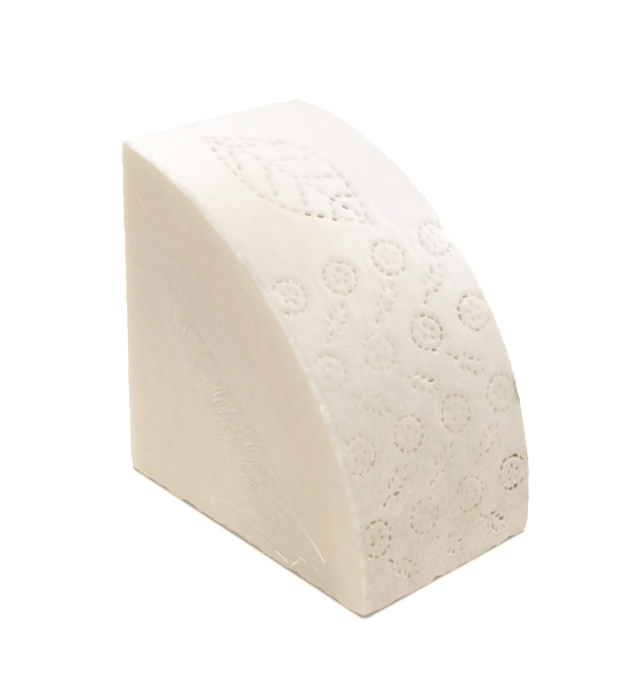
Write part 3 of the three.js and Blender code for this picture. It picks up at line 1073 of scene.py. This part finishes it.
def place_values(points, normals, belongs):
    """The colour values of the cheese that come from where each point is."""
    x, y, z = points.T
    along, cut = belongs["along"], 1 - belongs["rind"]
    deep = (1 + swell(belongs["angle"], y) / MEAN_RADIUS - np.hypot(x / WIDTH, z / HEIGHT)) * MEAN_RADIUS
    # Painted highlight along the cuts' upright edges and near the rind
    inward = np.where(normals[:, 0] < -UPRIGHT_FACING, np.minimum(y, DEPTH - y), x)
    cut_highlight = np.maximum(np.exp(-inward / HIGHLIGHT_EDGE), HIGHLIGHT_RIM_SHARE * np.exp(-np.abs(deep) / HIGHLIGHT_RIM))
    return {
        "rind": belongs["rind"],
        # Painted highlight on the edges, most on the rims of the rind
        "edge": belongs["edge"] * between((CUT_EDGE_HIGHLIGHT, 1), smooth(*RIM_TURN, belongs["facing"])),
        "cut_highlight": cut_highlight * cut,
        # Painted light on the paste near the rind, high up
        "rim_glow": smooth(*RIM_GLOW_RISE, z) * np.exp(-np.abs(deep) / RIM_GLOW_REACH) * cut,
        "band": np.exp(-((deep - BAND_DEEP) / BAND_HALF) ** 2) * cut,
        # Painted shade of a small dent on the back edge of the rind
        "dent_shade": np.exp(-((along - DENT_SHADE_ALONG) / DENT_SHADE_HALF) ** 4 - ((DEPTH - y) / DENT_SHADE_WIDTH) ** 2),
        "feather": feathered(x, z) * (belongs["front"] + BACK_FEATHER * belongs["back"]),
        "drag": dragged(x, z, belongs["front"]),
        # Whiteness of the rind: partly salt bloom, partly painted light strongest at the crest
        "salt_and_light": salt_and_light_share(along, y),
        "along": along,
    }


def chunk_mesh():
    """The chunk's mesh with its relief, and the point values that the cheese takes its colours from."""
    marks = press_marks()
    skin = fine_skin(marks)
    points, normals, belongs = read_skin(skin)
    rise, colouring = skin_relief(points, belongs, marks)
    points += normals * rise[:, None]
    wear_foot(points, normals)
    colouring.update(place_values(points, normals, belongs))
    for vert, point in zip(skin.verts, points):
        vert.co = CORNER + point * MM
    mesh = bpy.data.meshes.new("cheese_chunk_skin")
    skin.to_mesh(mesh)
    skin.free()
    for name, values in colouring.items():
        layer = mesh.attributes.new(name, "FLOAT", "POINT")
        layer.data.foreach_set("value", values.astype(np.float32))
    mesh.shade_smooth()
    return mesh


# Materials

def add_node(tree, kind, settings, inputs):
    """Adds a node with its settings, and sets or links its inputs, by name or number. Gives its outputs."""
    node = tree.nodes.new("ShaderNode" + kind)
    for name, value in settings.items():
        setattr(node, name, value)
    for socket, value in inputs.items():
        if isinstance(value, bpy.types.NodeSocket):
            tree.links.new(value, node.inputs[socket])
        else:
            node.inputs[socket].default_value = value
    return node.outputs


def bare_material(name):
    """A new material with an empty node tree."""
    material = bpy.data.materials.new(name)
    material.use_nodes = True
    material.node_tree.nodes.clear()
    return material, material.node_tree


def salt_and_light_white(tree, place, values, fleck):
    """The white of the rind, partly a bloom of salt and partly painted light: creamy where it is thin, duller
    in flecks, and duller at the crest's back end, which is painted shade. Gives its colour."""
    # Painted shade: the white is duller at the crest's back end
    through = add_node(tree, "SeparateXYZ", {}, {0: place})["Y"]
    back = add_node(tree, "MapRange", {}, {
        "Value": through, "From Min": -DEPTH / 2, "From Max": DEPTH / 2})["Result"]
    crest = add_node(tree, "MapRange", {}, {
        "Value": values["along"], "From Min": CREST_BACK_SHADE[0], "From Max": CREST_BACK_SHADE[1]})["Result"]
    back = add_node(tree, "Math", TIMES, {0: back, 1: crest})[0]
    white = add_node(tree, "Mix", COLOUR_MIX, {0: back, 6: linear("#EAE8E7"), 7: linear("#DFDCDA")})[2]
    thick = add_node(tree, "MapRange", {}, {
        "Value": values["salt_and_light"], "From Min": WHITE_SALT[0], "From Max": WHITE_SALT[1]})["Result"]
    white = add_node(tree, "Mix", COLOUR_MIX, {0: thick, 6: linear("#E8E2D9"), 7: white})[2]
    patch = add_node(tree, "Math", TIMES, {0: fleck, 1: FLECK_SHARE})[0]
    return add_node(tree, "Mix", COLOUR_MIX, {0: patch, 6: white, 7: linear("#DAD7D0")})[2]


def rind_finish(tree, place, values):
    """Mould-pressed rind: cream, dry and finely grained, under a white bloom, partly salt and partly
    painted light. It is tan where the pins went in, deepened by painted shade, with painted shade in the
    valleys, painted highlight on the slots' lips and a patch of painted shade on the back edge. Gives
    colour, and height in mm."""
    cloud = add_node(tree, "TexNoise", {}, {"Vector": place, "Scale": 1 / RIND_CLOUD, "Detail": 3})["Fac"]
    cloud = add_node(tree, "MapRange", {}, {"Value": cloud, "From Min": 0.35, "From Max": 0.65})["Result"]
    fleck = add_node(tree, "TexNoise", {}, {
        "Vector": place, "Scale": 1 / RIND_FLECK, "Detail": 5, "Roughness": 0.7})["Fac"]
    fleck = add_node(tree, "MapRange", {}, {"Value": fleck, "From Min": 0.3, "From Max": 0.7})["Result"]
    cream = add_node(tree, "Mix", COLOUR_MIX, {0: cloud, 6: linear("#D9CEC1"), 7: linear("#D0C8B6")})[2]
    dull = add_node(tree, "Mix", COLOUR_MIX, {0: cloud, 6: linear("#CBC0B1"), 7: linear("#C3B9A5")})[2]
    cream = add_node(tree, "Mix", COLOUR_MIX, {0: fleck, 6: dull, 7: cream})[2]
    white = salt_and_light_white(tree, place, values, fleck)
    # The rind whitens towards the crest: partly salt bloom, partly painted light
    cream = add_node(tree, "Mix", COLOUR_MIX, {0: values["salt_and_light"], 6: cream, 7: white})[2]
    # Painted shade: the valleys along the rows of slots are tinged a darker yellow
    valley_shade = add_node(tree, "Math", TIMES, {0: values["valley"], 1: VALLEY_SHADE_SHARE})[0]
    cream = add_node(tree, "Mix", COLOUR_MIX, {0: valley_shade, 6: cream, 7: linear("#A88A34")})[2]
    pore = add_node(tree, "TexVoronoi", {}, {"Vector": place, "Scale": 1 / RIND_PORE})["Distance"]
    pore = add_node(tree, "MapRange", {}, {"Value": pore, "From Min": 0.09, "From Max": 0.04})["Result"]
    shade = add_node(tree, "Math", TIMES, {0: pore, 1: PORE_SHARE})[0]
    cream = add_node(tree, "Mix", COLOUR_MIX, {0: shade, 6: cream, 7: linear("#B39B70")})[2]
    # Painted highlight on the slots' lips; the same mix makes the flakes' scars paler
    pale = add_node(tree, "Math", TIMES, {0: values["lip"], 1: LIP_HIGHLIGHT_SHARE})[0]
    cream = add_node(tree, "Mix", COLOUR_MIX, {0: pale, 6: cream, 7: linear("#F4EFE6")})[2]
    # The slots are tan: a real tint, deepened by painted shade
    pit_tan_and_shade = add_node(tree, "Mix", COLOUR_MIX, {
        0: values["salt_and_light"], 6: linear("#907338"), 7: linear("#A08412")})[2]
    colour = add_node(tree, "Mix", COLOUR_MIX, {0: values["pit"], 6: cream, 7: pit_tan_and_shade})[2]
    # A patch of painted shade on the back edge, for a small dent
    colour = add_node(tree, "Mix", COLOUR_MIX, {0: values["dent_shade"], 6: colour, 7: linear("#8C7F6C")})[2]
    grain = add_node(tree, "TexNoise", {}, {
        "Vector": place, "Scale": 1 / RIND_GRAIN, "Detail": 2, "Roughness": 0.6})["Fac"]
    pitted = add_node(tree, "Math", {"operation": "MULTIPLY_ADD"}, {0: pore, 1: -PORE_DEPTH, 2: grain})[0]
    coarse = add_node(tree, "MapRange", {}, {
        "Value": values["along"], "From Min": GRAIN_ALONG[0], "From Max": GRAIN_ALONG[1],
        "To Min": GRAIN_HEIGHT[0], "To Max": GRAIN_HEIGHT[1]})["Result"]
    height = add_node(tree, "Math", TIMES, {0: pitted, 1: coarse})[0]
    return colour, height


def fan_lines(tree, place, pivot, pitch, length, detail):
    """Fine lines that the knife left, fanning out from a pivot on the front cut. They are drawn coarser than
    most real ones, which are too fine to show."""
    pivot = (pivot[0] + CORNER[0] / MM, 0, pivot[1])
    arm = add_node(tree, "VectorMath", {"operation": "SUBTRACT"}, {0: place, 1: pivot})[0]
    arm = add_node(tree, "SeparateXYZ", {}, {0: arm})
    turn = add_node(tree, "Math", {"operation": "ARCTAN2"}, {0: arm["Z"], 1: arm["X"]})[0]
    reach = add_node(tree, "CombineXYZ", {}, {"X": arm["X"], "Z": arm["Z"]})[0]
    reach = add_node(tree, "VectorMath", {"operation": "LENGTH"}, {0: reach})["Value"]
    fan = add_node(tree, "CombineXYZ", {}, {"X": turn, "Y": reach, "Z": arm["Y"]})[0]
    sizes = (FAN_ARM / pitch, 1 / length, 1 / FAN_LAYER)
    fan = add_node(tree, "VectorMath", TIMES, {0: fan, 1: sizes})[0]
    return add_node(tree, "TexNoise", {}, {"Vector": fan, "Scale": 1, "Detail": detail})["Fac"]


def low_share(tree, place):
    """How low on a cut a place counts as, from 0 to 1: sooner low near the upright cut than near the rind."""
    at = add_node(tree, "SeparateXYZ", {}, {0: place})
    lean = add_node(tree, "MapRange", {}, {
        "Value": at["X"], "From Min": -WIDTH / 2, "From Max": WIDTH / 2,
        "To Min": 1, "To Max": LOW_LEAN})["Result"]
    rise = add_node(tree, "Math", TIMES, {0: at["Z"], 1: lean})[0]
    return add_node(tree, "MapRange", {"interpolation_type": "SMOOTHSTEP"}, {
        "Value": rise, "From Min": LOW_PASTE[0], "From Max": LOW_PASTE[1]})["Result"]


def paste_colour(tree, place, values, low):
    """The paste itself: ivory and a little clouded, lighter low down as painted light from the table, with a
    yellower band under the rind and a darker curd that shows most high up. Gives its colour."""
    # Painted light: the paste is lighter low down, where the table lights it
    ivory = add_node(tree, "Mix", COLOUR_MIX, {0: low, 6: linear("#C7BAAC"), 7: linear("#D8CCB8")})[2]
    cloud = add_node(tree, "TexNoise", {}, {"Vector": place, "Scale": 1 / PASTE_CLOUD, "Detail": 3})["Fac"]
    cloud = add_node(tree, "MapRange", {}, {
        "Value": cloud, "From Min": 0.35, "From Max": 0.65, "To Max": 0.4})["Result"]
    ivory = add_node(tree, "Mix", COLOUR_MIX, {0: cloud, 6: ivory, 7: linear("#CFC4B0")})[2]
    band = add_node(tree, "Math", TIMES, {0: values["band"], 1: BAND_SHARE})[0]
    ivory = add_node(tree, "Mix", COLOUR_MIX, {0: band, 6: ivory, 7: linear("#D0BD9C")})[2]
    curd = add_node(tree, "TexNoise", {}, {
        "Vector": place, "Scale": 1 / PASTE_CURD, "Detail": 6, "Roughness": 0.75})["Fac"]
    plain = add_node(tree, "MapRange", {}, {"Value": low, "To Min": 0.4, "To Max": 0.18})["Result"]
    curd = add_node(tree, "MapRange", {}, {
        "Value": curd, "From Min": 0.35, "From Max": 0.65, "To Max": plain})["Result"]
    return add_node(tree, "Mix", COLOUR_MIX, {0: curd, 6: ivory, 7: linear("#B9AC95")})[2]


def cut_finish(tree, place, values):
    """Knife-cut paste: smooth and close-grained, with fine drag lines, a feathery nap where the knife dug in,
    pale scuffs, painted highlight along its edges, and painted light near the rind high up. Gives colour, and
    height in mm."""
    drag = fan_lines(tree, place, KNIFE_PIVOT, DRAG_PITCH, DRAG_LENGTH, detail=4)
    feather = fan_lines(tree, place, STROKE_CENTRE, FEATHER_PITCH, STROKE_LENGTH, detail=1)
    low = low_share(tree, place)
    ivory = paste_colour(tree, place, values, low)
    shade = add_node(tree, "MapRange", {}, {
        "Value": drag, "From Min": 0.42, "From Max": 0.58, "To Max": 0.42})["Result"]
    shade = add_node(tree, "Math", TIMES, {0: shade, 1: values["drag"]})[0]
    ivory = add_node(tree, "Mix", COLOUR_MIX, {0: shade, 6: ivory, 7: linear("#C6B99F")})[2]
    # Painted highlight along the cuts' edges and near the rind
    cut_highlight = add_node(tree, "Math", TIMES, {0: values["cut_highlight"], 1: CUT_HIGHLIGHT_SHARE})[0]
    cut_highlight_colour = add_node(tree, "Mix", COLOUR_MIX, {0: low, 6: linear("#F2E4C6"), 7: linear("#EDEAE6")})[2]
    ivory = add_node(tree, "Mix", COLOUR_MIX, {0: cut_highlight, 6: ivory, 7: cut_highlight_colour})[2]
    # Painted light: the paste near the rind is paler high up
    pale = add_node(tree, "Math", TIMES, {0: values["rim_glow"], 1: RIM_GLOW_SHARE})[0]
    ivory = add_node(tree, "Mix", COLOUR_MIX, {0: pale, 6: ivory, 7: linear("#F2E4C4")})[2]
    colour = add_node(tree, "Mix", COLOUR_MIX, {0: values["scuff"], 6: ivory, 7: linear("#F4EFE5")})[2]
    feather = add_node(tree, "Math", TIMES, {0: feather, 1: values["feather"]})[0]
    drag = add_node(tree, "Math", TIMES, {0: drag, 1: values["drag"]})[0]
    height = add_node(tree, "Math", {"operation": "MULTIPLY_ADD"}, {
        0: feather, 1: FEATHER_HEIGHT, 2: drag})[0]
    height = add_node(tree, "Math", TIMES, {0: height, 1: DRAG_HEIGHT})[0]
    return colour, height


def aged_cheese():
    """Hard sheep's-milk cheese. It is a little translucent, so its edges and small relief look soft, and its
    edges carry a painted highlight in patches."""
    material, tree = bare_material("aged_sheep_cheese_pressed_and_cut")
    where = add_node(tree, "TexCoord", {}, {})["Object"]
    place = add_node(tree, "VectorMath", {"operation": "SCALE"}, {0: where, 3: 1 / MM})[0]
    values = {}
    for name in ("rind", "pit", "valley", "lip", "edge", "cut_highlight", "rim_glow", "dent_shade", "scuff", "feather",
                 "drag", "band", "salt_and_light", "along"):
        values[name] = add_node(tree, "Attribute", {"attribute_name": name}, {})["Fac"]
    rind_colour, rind_height = rind_finish(tree, place, values)
    cut_colour, cut_height = cut_finish(tree, place, values)
    colour = add_node(tree, "Mix", COLOUR_MIX, {0: values["rind"], 6: cut_colour, 7: rind_colour})[2]
    # Painted highlight on the edges, in patches, whiter where the rind is; the same noise sets roughness
    wear = add_node(tree, "TexNoise", {}, {"Vector": place, "Scale": 1 / WEAR_SIZE, "Detail": 5})["Fac"]
    worn = add_node(tree, "MapRange", {}, {
        "Value": wear, "From Min": 0.4, "From Max": 0.62, "To Min": 0.3, "To Max": 1})["Result"]
    worn = add_node(tree, "Math", TIMES, {0: values["edge"], 1: worn})[0]
    edge_highlight = add_node(tree, "Mix", COLOUR_MIX, {
        0: values["salt_and_light"], 6: linear("#DAD3C4"), 7: linear("#F4F1EA")})[2]
    colour = add_node(tree, "Mix", COLOUR_MIX, {0: worn, 6: colour, 7: edge_highlight})[2]
    height = add_node(tree, "Mix", {}, {0: values["rind"], 2: cut_height, 3: rind_height})[0]
    bump = add_node(tree, "Bump", {}, {"Strength": 1, "Distance": MM, "Height": height})["Normal"]
    rough = add_node(tree, "MapRange", {}, {"Value": wear, "To Min": 0.42, "To Max": 0.62})["Result"]
    shader = add_node(tree, "BsdfPrincipled", {}, {
        **CHEESE_BODY,
        "Base Color": colour,
        "Roughness": rough,
        "Normal": bump,
        "Subsurface Scale": 2 * MM,
    })["BSDF"]
    add_node(tree, "OutputMaterial", {}, {"Surface": shader})
    return material


def cheese_crumb():
    """Crumbled hard cheese: broken, not cut, so it is paler and drier than the faces, with no sheen."""
    material, tree = bare_material("aged_sheep_cheese_crumbled")
    where = add_node(tree, "TexCoord", {}, {})["Object"]
    place = add_node(tree, "VectorMath", {"operation": "SCALE"}, {0: where, 3: 1 / MM})[0]
    curd = add_node(tree, "TexNoise", {}, {"Vector": place, "Scale": 1 / CRUMB_CURD, "Detail": 3})["Fac"]
    colour = add_node(tree, "Mix", COLOUR_MIX, {0: curd, 6: linear("#E0D8C9"), 7: linear("#F0EAE0")})[2]
    bump = add_node(tree, "Bump", {}, {"Strength": 1, "Distance": CRUMB_BUMP * MM, "Height": curd})["Normal"]
    shader = add_node(tree, "BsdfPrincipled", {}, {
        **CHEESE_BODY,
        "Base Color": colour,
        "Roughness": 0.75,
        "Normal": bump,
        "Subsurface Scale": MM,
    })["BSDF"]
    add_node(tree, "OutputMaterial", {}, {"Surface": shader})
    return material


def light_table():
    """Matt white acrylic lit from below, so it takes hardly any shadow. Close round the foot of the chunk its
    glow is dimmed and warmed as a painted contact shadow, which fades out over TABLE_SHADE."""
    material, tree = bare_material("matt_white_acrylic_lit_from_below")
    where = add_node(tree, "TexCoord", {}, {})["Object"]
    offset = add_node(tree, "VectorMath", {"operation": "ABSOLUTE"}, {0: where})[0]
    half = [(side / 2 - inset - FOOT_CORNER) * MM for side, inset in zip((WIDTH, DEPTH), FOOT_INSET)]
    beyond = add_node(tree, "VectorMath", {"operation": "SUBTRACT"}, {0: offset, 1: (*half, 0)})[0]
    beyond = add_node(tree, "VectorMath", {"operation": "MAXIMUM"}, {0: beyond, 1: (0, 0, 0)})[0]
    gap = add_node(tree, "VectorMath", {"operation": "LENGTH"}, {0: beyond})["Value"]
    gap = add_node(tree, "MapRange", {}, {
        "Value": gap, "From Min": FOOT_CORNER * MM, "From Max": 1,
        "To Min": 0, "To Max": -1 / (TABLE_SHADE * MM)})["Result"]
    shade = add_node(tree, "Math", {"operation": "EXPONENT"}, {0: gap})[0]
    # Painted contact shadow: the glow is dimmed and warmed close round the foot
    glow = add_node(tree, "MapRange", {}, {"Value": shade, "To Min": 0.78, "To Max": 0.3})["Result"]
    tint = add_node(tree, "Mix", COLOUR_MIX, {0: shade, 6: linear("#FFFFFF"), 7: linear("#CFC4B8")})[2]
    shader = add_node(tree, "BsdfPrincipled", {}, {
        "Base Color": linear("#B0A9A0"),
        "Roughness": 0.9,
        "Emission Color": tint,
        "Emission Strength": glow,
    })["BSDF"]
    add_node(tree, "OutputMaterial", {}, {"Surface": shader})
    return material


# The scene

def add_object(name, mesh, material):
    """A mesh as an object of the scene, with its material."""
    mesh.materials.append(material)
    piece = bpy.data.objects.new(name, mesh)
    bpy.context.collection.objects.link(piece)
    return piece


def add_floor():
    """A light table under the chunk, wide enough to fill the view."""
    corners = [(x * TABLE_HALF, y * TABLE_HALF, 0) for x, y in ((-1, -1), (1, -1), (1, 1), (-1, 1))]
    mesh = bpy.data.meshes.new("light_table")
    mesh.from_pydata(corners, [], [(0, 1, 2, 3)])
    floor = add_object("light_table", mesh, light_table())
    floor.location.z = -TABLE_DROP * MM


def add_camera():
    """A camera where the photograph's stood."""
    camera = bpy.data.cameras.new("camera")
    camera.lens = CAMERA_LENS
    camera.sensor_width = CAMERA_SENSOR
    camera.clip_start = CAMERA_NEAR * MM
    back = Vector((math.sin(CAMERA_AZIMUTH) * math.cos(CAMERA_ELEVATION),
                   -math.cos(CAMERA_AZIMUTH) * math.cos(CAMERA_ELEVATION),
                   math.sin(CAMERA_ELEVATION)))
    right = Vector((0, 0, 1)).cross(back).normalized()
    up = back.cross(right)
    rolled_right = right * math.cos(CAMERA_ROLL) + up * math.sin(CAMERA_ROLL)
    rolled_up = up * math.cos(CAMERA_ROLL) - right * math.sin(CAMERA_ROLL)
    piece = bpy.data.objects.new("camera", camera)
    piece.matrix_world = Matrix((rolled_right, rolled_up, back)).transposed().to_4x4()
    piece.location = Vector(CORNER) + (Vector(CAMERA_AIM) + back * CAMERA_DISTANCE) * MM
    bpy.context.collection.objects.link(piece)
    bpy.context.scene.camera = piece


def add_softbox(name, stand, size, watts):
    """A square studio light at stand that faces the middle of the chunk."""
    light = bpy.data.lights.new(name, "AREA")
    light.size = size
    light.energy = watts
    piece = bpy.data.objects.new(name, light)
    piece.location = stand
    piece.rotation_euler = (Vector(LIGHT_AIM) - Vector(stand)).to_track_quat("-Z", "Y").to_euler()
    bpy.context.collection.objects.link(piece)


def add_light():
    """A white room, and soft lights above, behind, before and beside the chunk."""
    world = bpy.data.worlds.new("white_room")
    world.use_nodes = True
    world.node_tree.nodes["Background"].inputs["Color"].default_value = linear("#FFFFFF")
    world.node_tree.nodes["Background"].inputs["Strength"].default_value = ROOM_LIGHT
    bpy.context.scene.world = world
    for softbox in SOFTBOXES:
        add_softbox(*softbox)
    bpy.context.scene.view_settings.view_transform = "Standard"


cheese = aged_cheese()
chunk = add_object("hard_cheese_chunk", chunk_mesh(), cheese)
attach(chunk, "root")
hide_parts("cheese_chunk")
crumbs = add_object("cheese_crumbs", crumb_mesh(), cheese_crumb())
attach(crumbs, "root")
add_floor()
add_camera()
add_light()
